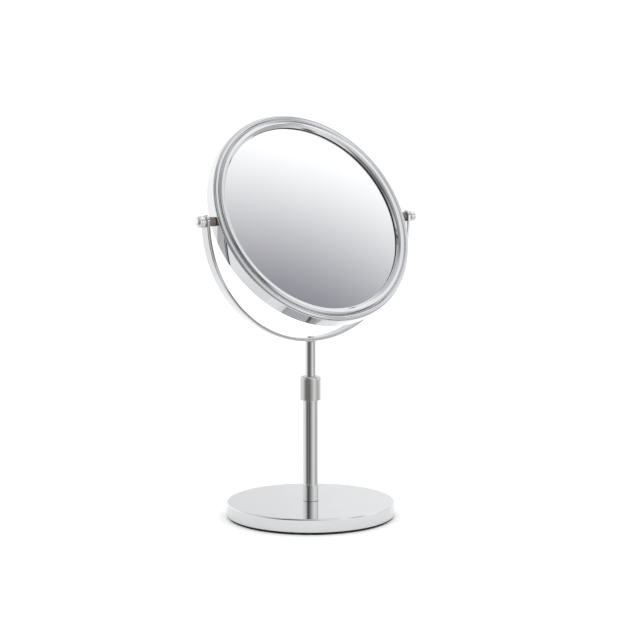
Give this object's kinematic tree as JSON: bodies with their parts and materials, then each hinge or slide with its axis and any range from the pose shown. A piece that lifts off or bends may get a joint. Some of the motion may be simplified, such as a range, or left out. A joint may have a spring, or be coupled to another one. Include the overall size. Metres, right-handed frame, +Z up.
{
  "type": "extendable shaving mirror",
  "caption": "Free-standing double-sided round shaving mirror that tilts in a yoke on a telescopic column with a twist-lock collar and a weighted round base.",
  "frame": {"origin": "centre of the base's underside, on the surface it stands on", "axes": "+Z up along the column, X along the tilt axis, the flat mirror faces -Y and leans back at rest"},
  "size_m": [0.2348, 0.15, 0.3567],
  "materials": {
    "pad_rubber": "matte black non-slip sheet",
    "cover_chrome": "polished chrome plate on pressed steel",
    "ballast_iron": "rough casting, painted dark grey",
    "fastener_steel": "zinc plated steel",
    "tube_chrome": "polished chrome plate on drawn steel tube",
    "thread_brass": "turned brass",
    "nylon": "natural nylon",
    "collar_satin": "satin nickel, fine turning marks",
    "black_plastic": "black moulded plastic",
    "yoke_chrome": "polished chrome plate on flat steel strip",
    "head_chrome": "polished chrome plate",
    "seal_rubber": "matte black rubber",
    "mirror_flat": "silvered float glass",
    "mirror_dished": "silvered dished glass, magnifying",
    "foam": "soft closed-cell foam",
    "spacer_plastic": "dark brown-black acetal",
    "knob_chrome": "polished chrome plate on turned brass"
  },
  "bodies": {
    "base": {"base_pad": "pad_rubber", "base_cover": "cover_chrome", "base_weight": "ballast_iron", "base_washer": "fastener_steel", "base_bolt": "fastener_steel", "tube_foot_plug": "fastener_steel", "lower_tube": "tube_chrome", "collet_bush": "thread_brass", "split_collet": "nylon"},
    "collar": {"lock_collar": "collar_satin"},
    "glide": {"glide_bush": "nylon"},
    "mast": {"upper_tube": "tube_chrome", "tube_end_plug": "black_plastic", "glide_clip": "fastener_steel", "tube_top_insert": "fastener_steel", "yoke": "yoke_chrome", "yoke_screw": "fastener_steel"},
    "head": {"rim_band": "head_chrome", "carrier_ring": "black_plastic", "core_plate": "black_plastic", "foam_ring": "foam", "front_bezel": "head_chrome", "front_seal": "seal_rubber", "front_mirror": "mirror_flat", "rear_bezel": "head_chrome", "rear_seal": "seal_rubber", "rear_mirror": "mirror_dished", "pivot_insert_left": "thread_brass", "pivot_insert_right": "thread_brass", "spacer_bush_left": "spacer_plastic", "spacer_bush_right": "spacer_plastic"},
    "knob_left": {"pivot_knob_left": "knob_chrome", "pivot_stud_left": "fastener_steel", "pivot_washer_left": "fastener_steel"},
    "knob_right": {"pivot_knob_right": "knob_chrome", "pivot_stud_right": "fastener_steel", "pivot_washer_right": "fastener_steel"}
  },
  "joints": [
    {"name": "collar_twist", "type": "hinge", "parent": "base", "child": "collar", "pos_m": [0, 0, 0.115], "axis": [0, 0, 1], "range_deg": [0, 180]},
    {"name": "height_slide", "type": "slide", "parent": "base", "child": "glide", "axis": [0, 0, 1], "range_m": [-0.03, 0.035]},
    {"name": "mast_swivel", "type": "hinge", "parent": "glide", "child": "mast", "pos_m": [0, 0, 0.062], "axis": [0, 0, 1], "continuous": true},
    {"name": "head_tilt", "type": "hinge", "parent": "mast", "child": "head", "pos_m": [0, 0, 0.2655], "axis": [1, 0, 0], "continuous": true},
    {"name": "knob_left_turn", "type": "hinge", "parent": "head", "child": "knob_left", "pos_m": [-0.114, 0, 0.2655], "axis": [-1, 0, 0], "range_deg": [0, 180]},
    {"name": "knob_right_turn", "type": "hinge", "parent": "head", "child": "knob_right", "pos_m": [0.114, 0, 0.2655], "axis": [1, 0, 0], "range_deg": [0, 180]}
  ]
}
